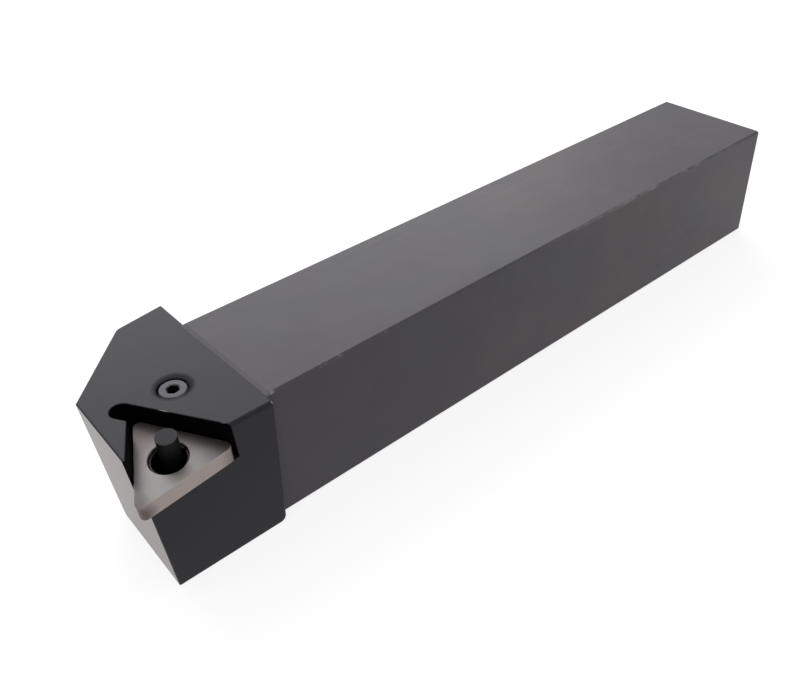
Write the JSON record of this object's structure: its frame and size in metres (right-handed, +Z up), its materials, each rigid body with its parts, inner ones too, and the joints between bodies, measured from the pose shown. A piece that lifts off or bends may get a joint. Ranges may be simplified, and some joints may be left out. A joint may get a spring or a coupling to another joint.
{
  "type": "turning tool holder",
  "caption": "Square-shank lathe tool holder with offset head, tilted triangular insert pocket, shim, clamping lever and its screw.",
  "frame": {"origin": "middle of the sole: half way along the tool, in the middle of the shank's width, on the flat underside", "axes": "+X along the tool from the shank's tail to the cutting nose, +Y to the cutting side, +Z up from the sole to the shank's top"},
  "size_m": [0.2502, 0.0562, 0.04],
  "materials": {
    "black_steel": "black oxide, satin",
    "shim_carbide": "ground hard metal, satin",
    "sleeve_steel": "spring steel, satin",
    "lever_steel": "black oxide, satin",
    "screw_steel": "hardened steel, satin"
  },
  "bodies": {
    "holder": {"holder_body": "black_steel", "shim": "shim_carbide", "shim_sleeve": "sleeve_steel"},
    "screw": {"clamp_screw": "screw_steel"},
    "lever": {"lever": "lever_steel"}
  },
  "joints": [
    {"name": "screw_turn", "type": "hinge", "parent": "holder", "child": "screw", "pos_m": [0.1024, 0.0016, 0.02], "axis": [0, 0, -1], "range_deg": [-115, 140]},
    {"name": "lever_rock", "type": "hinge", "parent": "holder", "child": "lever", "pos_m": [0.1108, 0.0135, 0.014], "axis": [0.8169, -0.5767, 0], "range_deg": [-1.5, 1.8]}
  ],
  "couplings": [
    {"joint": "lever_rock", "follows": "screw_turn", "ratio": 0.012732}
  ]
}
